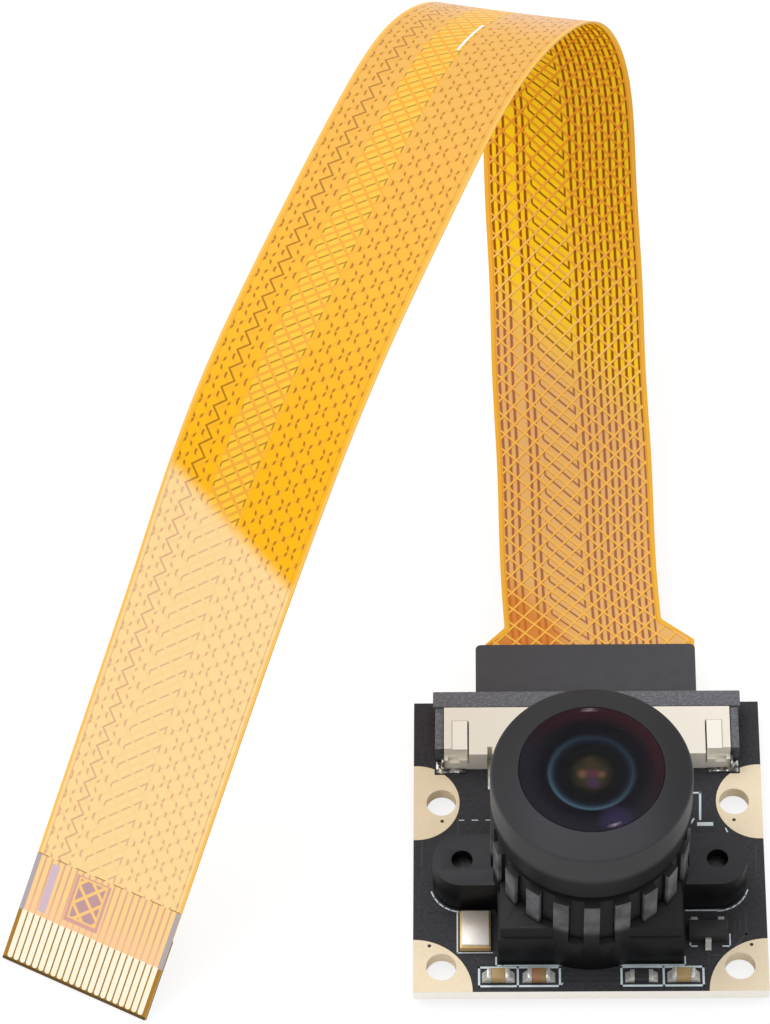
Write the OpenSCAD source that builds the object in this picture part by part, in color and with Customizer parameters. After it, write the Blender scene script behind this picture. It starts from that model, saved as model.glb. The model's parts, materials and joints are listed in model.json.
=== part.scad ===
// Wide-angle camera module for a single-board computer, with its ribbon cable.
// The board lies flat with the lens up (+Z). The origin is on the optical axis, which is
// also the centre of the four mounting holes, at the board's underside. The ribbon leaves
// along +Y, arches over and comes down to the table in front of the board.

/* [Board] */
// Width of the board, X
board_w = 25; // [24:0.5:32]
// Height of the board, Y
board_h = 24; // [24:0.5:30]
// Thickness of the board
board_t = 1; // [0.8:0.1:1.6]
// Diameter of the mounting holes
hole_d = 2.2; // [1.8:0.1:2.6]
// From the side edges to the holes
hole_side = 2; // [1.8:0.1:3]
// Hole spacing along the board, Y
hole_dy = 13.5; // [12.5:0.5:15]
// From the lower edge to the lower holes
hole_edge = 2; // [1.6:0.1:3]
// Radius of the plated pads at the two lower corners
corner_pad_r = 4.2; // [3.4:0.1:4.6]
// Radius of the plated half discs at the upper holes
side_pad_r = 3.1; // [2:0.1:3.4]
// Thickness of the plated pads
pad_t = 0.04; // [0.03:0.01:0.1]

/* [Lens holder] */
// Side of the holder's square base
base_w = 13; // [12.4:0.1:13.4]
// Height of the base's skirt and of the ears
skirt_h = 3.4; // [3:0.1:4]
// How much narrower the upper block is than the skirt
block_step = 0.3; // [0.2:0.1:0.6]
// Height of the upper block above the skirt
block_h = 1.3; // [0.8:0.1:2]
// Diameter over the ribs of the round tower
tower_d = 14; // [13.6:0.1:14.6]
// Depth of the grooves between the ribs
rib_depth = 0.5; // [0.2:0.05:0.6]
// Number of ribs
rib_count = 20; // [12:2:30]
// Share of the pitch that is rib
rib_share = 0.5; // [0.3:0.05:0.7]
// Height of the holder's top above the board
tower_h = 8.5; // [7:0.1:9]
// Distance between the two ear screws
ear_dx = 18; // [17.4:0.1:18.6]
// Radius of the ears' round ends
ear_r = 2.1; // [1.6:0.1:2.3]
// Diameter of the holes in the ears
ear_hole_d = 1.5; // [1.4:0.05:2]
// Side of the square chamber over the sensor
chamber_w = 10; // [9:0.5:10.8]
// Side of the window in the filter seat
window_w = 6.4; // [5:0.2:7]
// Thickness of the filter seat
seat_t = 0.5; // [0.4:0.1:0.8]

/* [Holder screws] */
// Diameter of the screws' shanks
screw_d = 1.44; // [1:0.02:1.5]
// Radial clearance of the shank in the board
screw_gap = 0.18; // [0.1:0.02:0.3]
// Diameter of the screw heads
head_d = 3; // [2.4:0.1:3.4]
// Height of the screw heads
head_h = 0.8; // [0.6:0.1:1.2]
// How far below the ears' top the screws end
tip_below = 0.9; // [0.4:0.1:1.6]

/* [Lens] */
// Diameter of the threaded barrel
thread_d = 11.9; // [11.5:0.05:12]
// Radial clearance of the barrel in the holder
thread_gap = 0.08; // [0.05:0.01:0.12]
// Diameter of the lens head
head_lens_d = 14; // [13:0.1:15]
// Diameter at the foot of the head's lower taper
foot_lens_d = 13.4; // [12.4:0.1:13.8]
// Gap between the head and the top of the holder
focus_gap = 0.9; // [0.9:0.1:2]
// Height of the head's lower taper
taper_h = 2.5; // [1:0.1:3]
// Height of the head's straight rim
rim_h = 2.9; // [2:0.1:4]
// Height of the sloping front face
face_h = 0.7; // [0.4:0.1:1.2]
// Gap between the foot of the barrel and the filter seat
barrel_gap = 1; // [0.9:0.1:1.5]
// Diameter of the front glass
glass_d = 10; // [9:0.1:10.4]
// Height of the front glass's dome
dome_h = 1.7; // [1:0.1:2.2]
// Depth of the front glass's edge
glass_edge = 1; // [0.8:0.1:1.4]
// Diameter of the front glass's hollow back
hollow_d = 6.2; // [5:0.1:7]
// Depth of the hollow back
hollow_h = 2; // [1.4:0.1:2.2]
// Diameter of the second glass
second_d = 7.4; // [7:0.1:8]
// Diameter of the rear glass group
rear_d = 6.6; // [6:0.1:7]
// Thickness of the second glass's edge
second_t = 0.8; // [0.6:0.1:1]
// Length of the spacer tube
spacer_h = 1.2; // [0.8:0.1:1.6]
// Thickness of the aperture stop
stop_t = 0.2; // [0.1:0.05:0.3]
// Diameter of the aperture
stop_d = 2.2; // [1.6:0.1:3]
// Thickness of the rear glass group
rear_t = 2.6; // [2:0.1:3]
// Height of the rear retaining ring
ring_h = 0.8; // [0.6:0.1:1]

/* [Sensor] */
// Side of the infrared filter
filter_w = 7.4; // [6.8:0.2:8]
// Thickness of the infrared filter
filter_t = 0.3; // [0.2:0.1:0.5]
// Width of the sensor package, X
sensor_w = 6; // [4:0.2:8]
// Height of the sensor package, Y
sensor_h = 5; // [4:0.2:8]
// Thickness of the sensor package
sensor_t = 0.6; // [0.4:0.1:0.8]
// Thickness of the sensor's cover glass
cover_t = 0.4; // [0.3:0.1:0.5]

/* [Connector] */
// Width of the connector's housing, X
housing_w = 20.6; // [20:0.1:20.8]
// Front of the housing, from the optical axis
housing_y = 9.6; // [9.5:0.1:9.8]
// Depth of the housing, Y
housing_d = 4; // [3.6:0.1:4.2]
// Height of the housing
housing_h = 2; // [2:0.1:3]
// Number of contacts
contact_count = 15; // [9:2:15]
// Pitch of the contacts
contact_pitch = 1; // [0.8:0.1:1]
// Width of a contact
contact_w = 0.3; // [0.2:0.02:0.34]
// Length of the contact tails in front of the housing
tail_l = 1.8; // [1:0.1:1.8]
// Depth of the latch bar, Y
latch_d = 1.3; // [1:0.1:1.6]
// Width of the latch bar, X
latch_w = 22.2; // [21.8:0.1:22.6]
// Width of each latch arm
arm_w = 0.6; // [0.4:0.05:0.7]

/* [Ribbon] */
// Width of the ribbon
ribbon_w = 11.5; // [10:0.5:12.5]
// Width of the ribbon's board end
plug_w = 16; // [15.4:0.1:16]
// Thickness of the ribbon's film
film_t = 0.15; // [0.1:0.01:0.2]
// Thickness of the two stiffeners
stiff_t = 0.2; // [0.15:0.05:0.25]
// How far the ribbon goes into the connector
insert_l = 2.9; // [2.4:0.1:3]
// Length of the board-end stiffener outside the connector
stiff_out = 5.8; // [4:0.1:6.5]
// Height of the middle of the film over the board, in the connector
ribbon_z = 1.1; // [1.05:0.05:1.2]
// Length of the flare from the board end to the ribbon
flare_l = 2; // [1.5:0.1:3]
// Thickness of the ribbon's contacts
finger_t = 0.04; // [0.03:0.01:0.06]
// Number of contacts at the free end
finger_count = 22; // [16:2:22]
// Pitch of the contacts at the free end
finger_pitch = 0.5; // [0.4:0.05:0.5]
// Width of a contact at the free end
finger_w = 0.38; // [0.2:0.02:0.4]
// Length of the contacts at the free end
finger_l = 3.9; // [3:0.1:5]
// Length of the free-end stiffener
end_stiff_l = 6; // [5:0.5:8]

/* [Small parts] */
// Width of the crystal, X
crystal_w = 2.2; // [1.8:0.1:2.3]
// Height of the crystal, Y
crystal_h = 3; // [2.4:0.1:3.2]
// Thickness of the crystal
crystal_t = 0.8; // [0.6:0.1:1]
// Length of the transistor's body, X
transistor_w = 2.8; // [2.4:0.1:3]
// Depth of the transistor's body, Y
transistor_h = 1.3; // [1.1:0.1:1.4]
// Thickness of the transistor
transistor_t = 1; // [0.8:0.1:1.1]
// Length of a chip, X
chip_l = 1.6; // [1.2:0.1:1.8]
// Depth of a chip, Y
chip_w = 0.8; // [0.6:0.1:0.9]
// Height of a chip capacitor
cap_t = 0.8; // [0.5:0.1:0.9]
// Height of the chip resistor
resistor_t = 0.5; // [0.4:0.1:0.6]
// From the board's front edge to the middle of the chips
chip_inset = 1.1; // [0.9:0.1:1.4]

/* [Hidden] */
$fn = 64;
eps = 0.01;

// Board
board_y0 = -hole_dy / 2 - hole_edge;
hole_dx = board_w - 2 * hole_side;
board_top = board_t;
holes = [for (x = [-1, 1], y = [-1, 1]) [x * hole_dx / 2, y * hole_dy / 2]];
side_pad_inset = 0.2;

// Lens holder
skirt_top = board_top + skirt_h;
block_top = skirt_top + block_h;
tower_top = board_top + tower_h;
bore_r = thread_d / 2 + thread_gap;
chamber_roof = 1;
chamber_h = skirt_h - chamber_roof;
seat_z = board_top + chamber_h;
seat_top = seat_z + seat_t;

// Lens, from the foot of the barrel up
barrel_z = seat_top + barrel_gap;
head_z = tower_top + focus_gap;
rim_z = head_z + taper_h;
face_z = rim_z + rim_h;
glass_z = face_z + face_h;
glass_gap = 0.03;
glass_seat_z = glass_z - glass_edge;
dome_r = ((glass_d / 2) * (glass_d / 2) + dome_h * dome_h) / (2 * dome_h);
hollow_r = ((hollow_d / 2) * (hollow_d / 2) + hollow_h * hollow_h) / (2 * hollow_h);
second_top = glass_seat_z - 0.4;
second_z = second_top - second_t;
spacer_z = second_z - spacer_h;
stop_z = spacer_z - stop_t;
rear_z = stop_z - rear_t;
ring_z = rear_z - ring_h;
rear_bulge = 0.5;

// Connector
contact_t = 0.15;
housing_top = board_top + housing_h;
housing_back = housing_y + housing_d;
insert_gap = 0.1;
cavity_y = housing_back - insert_l - insert_gap;
film_z = board_top + ribbon_z;
film_low = film_z - film_t / 2;
film_high = film_z + film_t / 2;
beam_top = film_low - finger_t - 0.025;
cavity_z = beam_top - 0.3;
tongue_z = film_high + stiff_t + 0.045;
tongue_t = 0.25;
cavity_top = tongue_z + tongue_t + 0.05;
plug_gap = 0.3;
groove_w = contact_w + 0.06;
slide_gap = 0.05;
latch_y = housing_back + slide_gap;
arm_y = housing_y + 0.6;
hold_down_y = housing_y - 0.4;
hold_down_in = 1.6;
hold_down_gap = 0.02;
hold_down_out = 0.58;
hold_down_x = housing_w / 2 + hold_down_gap + hold_down_out;
pad_gap = 0.1;
hold_down_h = housing_h * 0.65;

// Ribbon: the plug end is straight, then the film follows the route below, which is a
// smooth curve drawn by its points, with the direction across the film at each of them.
// The route starts at the stiffener's end and lies free from there on.
stiff_l = insert_l + stiff_out;
ribbon_y = housing_back + stiff_out;
route = [[0, ribbon_y, film_z], [-0.5, 27, 2], [-0.5, 34, 4], [-1, 41, 6.5], [-1, 48, 9],
    [-1.5, 55, 11.5], [-1.5, 61, 17], [-3.5, 61, 25], [-6.5, 56, 30], [-9.5, 50, 33],
    [-12.5, 43, 33], [-15.5, 36.5, 31.5], [-18.5, 29.5, 30.5], [-21.5, 23, 28],
    [-24, 17.5, 24.5], [-26.5, 12.5, 19.5], [-29, 7.5, 14.5], [-31.5, 2.5, 9.5],
    [-34, -2.5, 4.5], [-36.5, -7.5, -0.5]];
across = [[1, 0, 0], [1, 0, 0], [1, 0, 0.05], [1, 0.05, 0.05], [1, 0, 0.05],
    [1, 0, 0.05], [1, -0.1, 0.25], [0.9, -0.3, 0.25], [0.9, -0.4, 0.15],
    [0.9, -0.45, 0.05], [0.9, -0.4, 0.05], [0.9, -0.4, 0], [0.9, -0.4, 0],
    [0.9, -0.4, -0.1], [0.9, -0.4, -0.1], [0.9, -0.45, 0], [0.9, -0.45, 0],
    [0.9, -0.45, 0], [0.9, -0.45, 0], [0.9, -0.45, 0]];
rings_per_point = 4;
last = len(route) - 1;
route_step = norm(route[1] - route[0]);
flare_u = flare_l / route_step;

// Small parts
crystal_at = [-8.1, -4];
lid_t = 0.25;
transistor_at = [8.3, -4.18];
lead_w = 0.42;
lead_t = 0.15;
lead_l = 0.7;
lead_dx = 1.9;
capacitor_x = [-6.5, -3.65, 6.5];
resistor_x = 3.55;
chip_y = board_y0 + chip_inset;
cap_l = 0.3;
solder_l = 0.35;

function unit(v) = v / norm(v);
// A list carried on one point past each end, in line with its end pair
function extended(p) = concat([2 * p[0] - p[1]], p, [2 * p[len(p) - 1] - p[len(p) - 2]]);
// Uniform cubic B-spline of the list p at u, where whole numbers are its points
function spline(p, u) = let (
    k = min(floor(u), len(p) - 2), f = u - k, e = extended(p)
) (pow(1 - f, 3) * e[k] + (3 * pow(f, 3) - 6 * f * f + 4) * e[k + 1]
    + (-3 * pow(f, 3) + 3 * f * f + 3 * f + 1) * e[k + 2] + pow(f, 3) * e[k + 3]) / 6;
function along(u) = unit(spline(route, min(u + 0.01, last)) - spline(route, max(u - 0.01, 0)));
// Direction across the film at u, square to the curve
function side(u) = let (t = along(u), b = spline(across, u)) unit(b - (b * t) * t);
// Four corners of the film's section about point c, along side b with half width h
function section(c, b, n, h) = [c - h * b - film_t / 2 * n, c + h * b - film_t / 2 * n,
    c + h * b + film_t / 2 * n, c - h * b + film_t / 2 * n];
function ring(u) = let (
    t = along(u), b = side(u), n = cross(b, t)
) section(spline(route, u), b, n, ribbon_w / 2);
// The two triangles that fill the loop of corners p, q, r, s
function quad(p, q, r, s) = [[p, q, r], [p, r, s]];
end_t = along(last);
end_b = side(last);
end_n = cross(end_b, end_t);

module both_sides() {
    children();
    mirror([1, 0, 0]) children();
}

// Draws its children in the frame of the ribbon's free end: X across, Y along, Z down
module at_free_end() {
    e = route[last];
    multmatrix([[end_b.x, end_t.x, end_n.x, e.x], [end_b.y, end_t.y, end_n.y, e.y],
        [end_b.z, end_t.z, end_n.z, e.z], [0, 0, 0, 1]]) children();
}

module board_outline() {
    translate([-board_w / 2, board_y0]) square([board_w, board_h]);
}

module drill(d, z0, z1) {
    for (p = holes) translate([p.x, p.y, z0 - eps]) cylinder(d = d, h = z1 - z0 + 2 * eps);
}

module pcb() {
    color([0.07, 0.07, 0.08]) difference() {
        linear_extrude(board_t) board_outline();
        drill(hole_d, 0, board_t);
        both_sides() translate([ear_dx / 2, 0, -eps])
            cylinder(r = screw_d / 2 + screw_gap, h = board_t + 2 * eps);
    }
}

// The pads keep clear of the connector's hold-downs
module pad_outlines() {
    difference() {
        intersection() {
            board_outline();
            both_sides() {
                translate([board_w / 2, board_y0]) circle(corner_pad_r);
                translate([board_w / 2 - side_pad_inset, hole_dy / 2]) circle(side_pad_r);
            }
        }
        translate([-hold_down_x - pad_gap, hold_down_y - pad_gap])
            square([2 * (hold_down_x + pad_gap), board_h]);
    }
}

module plated_pads() {
    color([0.93, 0.82, 0.62]) difference() {
        translate([0, 0, board_top]) linear_extrude(pad_t) pad_outlines();
        drill(hole_d, board_top, board_top + pad_t);
    }
}

module ribbed_tower() {
    rib_w = rib_share * PI * tower_d / rib_count;
    translate([0, 0, skirt_top - eps]) {
        cylinder(r = tower_d / 2 - rib_depth, h = tower_h - skirt_h + eps);
        intersection() {
            cylinder(d = tower_d, h = tower_h - skirt_h + eps);
            for (i = [0 : rib_count - 1]) rotate(i * 360 / rib_count - 90)
                translate([tower_d / 2 - 2 * rib_depth, -rib_w / 2, 0])
                    cube([2 * rib_depth, rib_w, tower_h]);
        }
    }
}

module centred_block(w, z, h) {
    translate([-w / 2, -w / 2, z]) cube([w, w, h]);
}

module lens_holder() {
    block_w = base_w - block_step;
    color([0.1, 0.1, 0.11]) difference() {
        union() {
            centred_block(base_w, board_top, skirt_h);
            centred_block(block_w, board_top, skirt_h + block_h);
            translate([0, 0, board_top]) cylinder(d = tower_d, h = skirt_h);
            ribbed_tower();
            both_sides() {
                translate([ear_dx / 2, 0, board_top]) cylinder(r = ear_r, h = skirt_h);
                translate([0, -ear_r, board_top]) cube([ear_dx / 2, 2 * ear_r, skirt_h]);
            }
        }
        centred_block(chamber_w, board_top - eps, chamber_h + eps);
        centred_block(window_w, seat_z - eps, seat_t + 2 * eps);
        translate([0, 0, seat_top]) cylinder(r = bore_r, h = tower_top);
        both_sides() translate([ear_dx / 2, 0, 0]) cylinder(d = ear_hole_d, h = tower_top);
    }
}

module holder_screws() {
    recess_w = head_d * 0.55;
    slot_w = head_d * 0.14;
    color([0.75, 0.76, 0.78]) both_sides() translate([ear_dx / 2, 0, 0]) {
        difference() {
            translate([0, 0, -head_h]) cylinder(d = head_d, h = head_h);
            for (a = [0, 90]) rotate(a)
                translate([-recess_w / 2, -slot_w / 2, -head_h - eps])
                    cube([recess_w, slot_w, head_h * 0.6]);
        }
        translate([0, 0, -eps]) cylinder(d = screw_d, h = skirt_top - tip_below + eps);
    }
}

// The barrel's section is turned about the optical axis. Its inside steps down from the
// front glass to the smaller glasses behind it.
module lens_barrel() {
    seat = second_d / 2 + glass_gap;
    rear = rear_d / 2 + glass_gap;
    color([0.12, 0.12, 0.13]) rotate_extrude($fn = 96) polygon([
        [rear, barrel_z], [thread_d / 2, barrel_z], [thread_d / 2, head_z],
        [foot_lens_d / 2, head_z], [head_lens_d / 2, rim_z], [head_lens_d / 2, face_z],
        [glass_d / 2 + glass_gap, glass_z], [glass_d / 2 + glass_gap, glass_seat_z],
        [seat, glass_seat_z], [seat, second_z], [rear, second_z]]);
}

// Ball of radius r whose cap of height h stands on the plane at z
module cap_ball(r, h, z) {
    translate([0, 0, z + h - r]) sphere(r, $fn = 96);
}

module front_element() {
    color([0.25, 0.2, 0.3, 0.6]) difference() {
        union() {
            translate([0, 0, glass_seat_z]) cylinder(d = glass_d, h = glass_edge);
            intersection() {
                translate([0, 0, glass_z - eps]) cylinder(d = glass_d, h = dome_h + 1);
                cap_ball(dome_r, dome_h, glass_z);
            }
        }
        intersection() {
            translate([0, 0, glass_seat_z - eps]) cylinder(d = hollow_d, h = hollow_h + 1);
            cap_ball(hollow_r, hollow_h, glass_seat_z);
        }
    }
}

module second_element() {
    bulge = 0.5;
    r = (second_d * second_d / 4 + bulge * bulge) / (2 * bulge);
    color([0.3, 0.35, 0.3, 0.6]) difference() {
        translate([0, 0, second_z]) cylinder(d = second_d, h = second_t);
        translate([0, 0, second_top - bulge + r]) sphere(r, $fn = 96);
    }
}

module lens_spacer() {
    color([0.08, 0.08, 0.08]) translate([0, 0, spacer_z]) difference() {
        cylinder(d = rear_d, h = spacer_h);
        translate([0, 0, -eps])
            cylinder(d1 = rear_d * 0.6, d2 = rear_d * 0.85, h = spacer_h + 2 * eps, $fn = 96);
    }
}

module aperture_stop() {
    color([0.05, 0.05, 0.05]) translate([0, 0, stop_z]) difference() {
        cylinder(d = rear_d, h = stop_t);
        translate([0, 0, -eps]) cylinder(d = stop_d, h = stop_t + 2 * eps);
    }
}

module rear_element() {
    r = (rear_d * rear_d / 4 + rear_bulge * rear_bulge) / (2 * rear_bulge);
    color([0.3, 0.3, 0.35, 0.6]) intersection() {
        translate([0, 0, rear_z]) cylinder(d = rear_d, h = rear_t);
        translate([0, 0, stop_z - r]) sphere(r, $fn = 96);
    }
}

module rear_ring() {
    color([0.1, 0.1, 0.1]) translate([0, 0, ring_z]) difference() {
        cylinder(d = rear_d, h = ring_h);
        translate([0, 0, -eps]) cylinder(d = rear_d * 0.75, h = ring_h + 2 * eps);
    }
}

module infrared_filter() {
    color([0.55, 0.75, 0.8, 0.6]) centred_block(filter_w, seat_z - filter_t, filter_t);
}

module sensor_block(z, t, inset) {
    translate([-sensor_w / 2 + inset, -sensor_h / 2 + inset, z])
        cube([sensor_w - 2 * inset, sensor_h - 2 * inset, t]);
}

module image_sensor() {
    color([0.2, 0.25, 0.2]) sensor_block(board_top, sensor_t, 0);
}

module sensor_cover_glass() {
    color([0.6, 0.7, 0.7, 0.5]) sensor_block(board_top + sensor_t, cover_t, 0.1);
}

// One row of copies along X, centred on the axis
module row(count, pitch) {
    for (i = [0 : count - 1]) translate([(i - (count - 1) / 2) * pitch, 0, 0]) children();
}

// Box from corner a to corner b
module box(a, b) {
    translate(a) cube(b - a);
}

module connector_housing() {
    half = housing_w / 2;
    inner = plug_w / 2 + plug_gap;
    tab_w = 1.8;
    tab_back = 1.2;
    pocket_w = 1.1;
    slot_x = half - tab_w;
    pocket_x = half - 0.3;
    block_top = housing_top - 0.8;
    front = housing_y - eps;
    groove_y = housing_y + 0.65;
    color([0.9, 0.87, 0.78]) difference() {
        union() {
            box([-half, housing_y, board_top], [half, housing_back, housing_top]);
            both_sides() box([slot_x + 0.1, housing_y + 0.35, housing_top - eps],
                [half - 0.6, housing_back - tab_back, housing_top + 0.08]);
        }
        box([-inner, cavity_y, cavity_z], [inner, housing_back + eps, cavity_top]);
        row(contact_count, contact_pitch) {
            box([-groove_w / 2, front, board_top - eps],
                [groove_w / 2, housing_back - 0.5, cavity_z + 0.2]);
            box([-groove_w / 2, front, board_top], [groove_w / 2, groove_y, housing_top + eps]);
        }
        both_sides() {
            box([slot_x, front, block_top - 0.6], [slot_x + 0.12, housing_back - tab_back, 2 * housing_top]);
            box([slot_x, front, block_top], [half + eps, housing_y + 0.5, housing_top + 0.04]);
            box([half - pocket_w, front, block_top - 0.35], [pocket_x, housing_y + 0.3, block_top + eps]);
        }
    }
}

module connector_latch() {
    half = latch_w / 2;
    inner = plug_w / 2 + plug_gap;
    arm_x = housing_w / 2 + slide_gap;
    color([0.25, 0.26, 0.28]) difference() {
        union() {
            box([-half, latch_y, board_top + 0.1], [half, latch_y + latch_d, housing_top]);
            both_sides() box([arm_x, arm_y, board_top + 0.3],
                [arm_x + arm_w, latch_y + eps, housing_top - 0.2]);
            box([-plug_w / 2, cavity_y + 0.6, tongue_z],
                [plug_w / 2, latch_y + eps, tongue_z + tongue_t]);
        }
        box([-inner, latch_y - eps, cavity_z], [inner, latch_y + latch_d + eps, tongue_z]);
    }
}

// A contact is a flat strip bent in the plane of its side view: tail, rise and beam
module connector_contacts() {
    rise_y = cavity_y - 0.3;
    tip_y = housing_back - 0.6;
    z = board_top;
    color([0.85, 0.83, 0.75]) row(contact_count, contact_pitch)
        translate([-contact_w / 2, 0, 0]) rotate([90, 0, 90]) linear_extrude(contact_w)
            polygon([[housing_y - tail_l, z], [rise_y + contact_t, z],
                [rise_y + contact_t, cavity_z], [tip_y, beam_top - contact_t],
                [tip_y, beam_top], [rise_y, cavity_z + contact_t],
                [rise_y, z + contact_t], [housing_y - tail_l, z + contact_t]]);
}

module connector_hold_downs() {
    side_x = housing_w / 2 + hold_down_gap;
    out_x = hold_down_x;
    back = arm_y - 0.05;
    z = board_top;
    color([0.8, 0.8, 0.8]) both_sides() {
        box([side_x - hold_down_in, hold_down_y, z], [out_x, housing_y - 0.02, z + contact_t]);
        box([side_x, hold_down_y, z], [out_x, back, z + contact_t]);
        box([side_x, hold_down_y, z], [side_x + contact_t, back, z + hold_down_h]);
    }
}

// The two faces of the film are split the same way at each step, so they stay parallel
module ribbon_film() {
    plug = [for (y = [ribbon_y - stiff_l, ribbon_y])
        section([0, y, film_z], [1, 0, 0], [0, 0, 1], plug_w / 2)];
    free = [for (i = [1 : last * rings_per_point]) let (u = i / rings_per_point)
        if (u > flare_u + 0.1) u];
    rings = concat(plug, [for (u = concat([flare_u], free)) ring(u)]);
    corners = len(rings[0]);
    sides = [for (i = [0 : len(rings) - 2], j = [0 : corners - 1])
        let (a = corners * i + j, b = corners * i + (j + 1) % corners)
        each j < corners / 2 ? quad(a, b, b + corners, a + corners)
            : quad(b, b + corners, a + corners, a)];
    far = corners * (len(rings) - 1);
    caps = concat(quad(3, 2, 1, 0), quad(far, far + 1, far + 2, far + 3));
    color([0.95, 0.65, 0.15]) polyhedron([for (r = rings, p = r) p], concat(sides, caps));
}

module board_end_stiffener() {
    r = 0.4;
    y0 = ribbon_y - stiff_l;
    x = plug_w / 2;
    z = film_high + stiff_t;
    color([0.16, 0.16, 0.17]) {
        box([-x, y0, film_high], [x, ribbon_y - r, z]);
        box([r - x, y0, film_high], [x - r, ribbon_y, z]);
        both_sides() translate([x - r, ribbon_y - r, film_high]) cylinder(r = r, h = stiff_t);
    }
}

module board_end_contacts() {
    finger = contact_pitch * 0.7;
    y0 = ribbon_y - stiff_l;
    color([0.9, 0.75, 0.4]) row(contact_count, contact_pitch)
        box([-finger / 2, y0 + 0.1, film_low - finger_t], [finger / 2, y0 + insert_l, film_low]);
}

module free_end_stiffener() {
    color([0.85, 0.6, 0.25]) at_free_end() box([-ribbon_w / 2, -end_stiff_l, film_t / 2],
        [ribbon_w / 2, 0, film_t / 2 + stiff_t]);
}

module free_end_contacts() {
    color([0.95, 0.85, 0.6]) at_free_end() row(finger_count, finger_pitch)
        box([-finger_w / 2, -finger_l, -film_t / 2 - finger_t], [finger_w / 2, 0, -film_t / 2]);
}

module crystal_base() {
    color([0.8, 0.65, 0.35]) translate([crystal_at.x - crystal_w / 2,
        crystal_at.y - crystal_h / 2, board_top]) cube([crystal_w, crystal_h, crystal_t - lid_t]);
}

module crystal_lid() {
    rim = 0.12;
    w = crystal_w - 2 * rim;
    h = crystal_h - 2 * rim;
    color([0.85, 0.83, 0.78]) translate([crystal_at.x - w / 2, crystal_at.y - h / 2,
        board_top + crystal_t - lid_t]) cube([w, h, lid_t]);
}

module transistor_body() {
    stand_off = 0.05;
    color([0.12, 0.12, 0.13]) translate([transistor_at.x - transistor_w / 2,
        transistor_at.y - transistor_h / 2, board_top + stand_off])
            cube([transistor_w, transistor_h, transistor_t - stand_off]);
}

// A lead in side view: it leaves the body half way up, bends down and ends in a flat foot
module lead() {
    up = transistor_t / 2;
    knee = lead_l * 0.45;
    translate([-lead_w / 2, transistor_h / 2, board_top]) rotate([90, 0, 90])
        linear_extrude(lead_w) polygon([[0, up], [knee - lead_t, up], [knee - lead_t, 0],
            [lead_l, 0], [lead_l, lead_t], [knee, lead_t], [knee, up + lead_t],
            [0, up + lead_t]]);
}

module transistor_leads() {
    color([0.82, 0.82, 0.8]) translate(transistor_at) {
        rotate(180) lead();
        for (x = [-1, 1]) translate([x * lead_dx / 2, 0]) lead();
    }
}

module chip_body(x, t) {
    l = chip_l - 2 * cap_l;
    translate([x - l / 2, chip_y - chip_w / 2, board_top]) cube([l, chip_w, t]);
}

module capacitor_bodies() {
    color([0.72, 0.6, 0.42]) for (x = capacitor_x) chip_body(x, cap_t);
}

module resistor_body() {
    color([0.12, 0.12, 0.13]) chip_body(resistor_x, resistor_t);
}

// A chip's end cap with the solder running down from it to the pad
module terminal(t) {
    x = chip_l / 2 - cap_l;
    translate([0, chip_y + chip_w / 2, board_top]) rotate([90, 0, 0]) linear_extrude(chip_w)
        polygon([[x, 0], [x, t], [chip_l / 2, t], [chip_l / 2, t * 0.6],
            [chip_l / 2 + solder_l, 0.05], [chip_l / 2 + solder_l, 0]]);
}

module chip_terminals() {
    color([0.8, 0.8, 0.78]) {
        for (x = capacitor_x) translate([x, 0, 0]) both_sides() terminal(cap_t);
        translate([resistor_x, 0, 0]) both_sides() terminal(resistor_t);
    }
}

pcb();
plated_pads();
lens_holder();
holder_screws();
lens_barrel();
front_element();
second_element();
lens_spacer();
aperture_stop();
rear_element();
rear_ring();
infrared_filter();
image_sensor();
sensor_cover_glass();
connector_housing();
connector_latch();
connector_contacts();
connector_hold_downs();
ribbon_film();
board_end_stiffener();
board_end_contacts();
free_end_stiffener();
free_end_contacts();
crystal_base();
crystal_lid();
transistor_body();
transistor_leads();
capacitor_bodies();
resistor_body();
chip_terminals();
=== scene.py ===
import json
import math
import bmesh
import bpy
import numpy as np
from mathutils import Matrix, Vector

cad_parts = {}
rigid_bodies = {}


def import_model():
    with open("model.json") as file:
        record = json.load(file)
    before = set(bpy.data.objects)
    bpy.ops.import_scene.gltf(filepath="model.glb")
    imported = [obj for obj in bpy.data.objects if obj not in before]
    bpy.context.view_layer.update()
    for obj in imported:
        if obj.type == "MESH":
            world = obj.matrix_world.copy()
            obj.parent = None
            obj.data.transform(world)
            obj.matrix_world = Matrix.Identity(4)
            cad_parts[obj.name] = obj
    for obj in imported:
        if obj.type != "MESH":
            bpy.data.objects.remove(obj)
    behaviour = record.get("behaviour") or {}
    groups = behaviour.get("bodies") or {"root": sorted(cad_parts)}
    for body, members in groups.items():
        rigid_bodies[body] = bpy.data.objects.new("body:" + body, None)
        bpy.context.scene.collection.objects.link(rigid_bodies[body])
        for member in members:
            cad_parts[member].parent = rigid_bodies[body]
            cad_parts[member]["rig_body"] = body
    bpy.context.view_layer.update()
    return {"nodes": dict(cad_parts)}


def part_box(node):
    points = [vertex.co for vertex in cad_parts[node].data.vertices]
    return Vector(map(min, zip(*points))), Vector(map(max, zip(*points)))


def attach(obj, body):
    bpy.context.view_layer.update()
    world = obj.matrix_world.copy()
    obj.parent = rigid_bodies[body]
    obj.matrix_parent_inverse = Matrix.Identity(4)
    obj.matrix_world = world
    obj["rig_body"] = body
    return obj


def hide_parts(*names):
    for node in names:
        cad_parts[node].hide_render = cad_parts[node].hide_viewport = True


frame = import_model()
nodes = frame["nodes"]
mm = 0.001  # the scene is in metres, and the sizes below are in mm
scene = bpy.context.scene


def tone(red, green, blue):
    # display colour of 0 to 255 as the linear colour that renders as it
    share = np.array([red, green, blue]) / 255
    return tuple(np.where(share <= 0.04045, share / 12.92, ((share + 0.055) / 1.055) ** 2.4)) + (1,)


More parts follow.
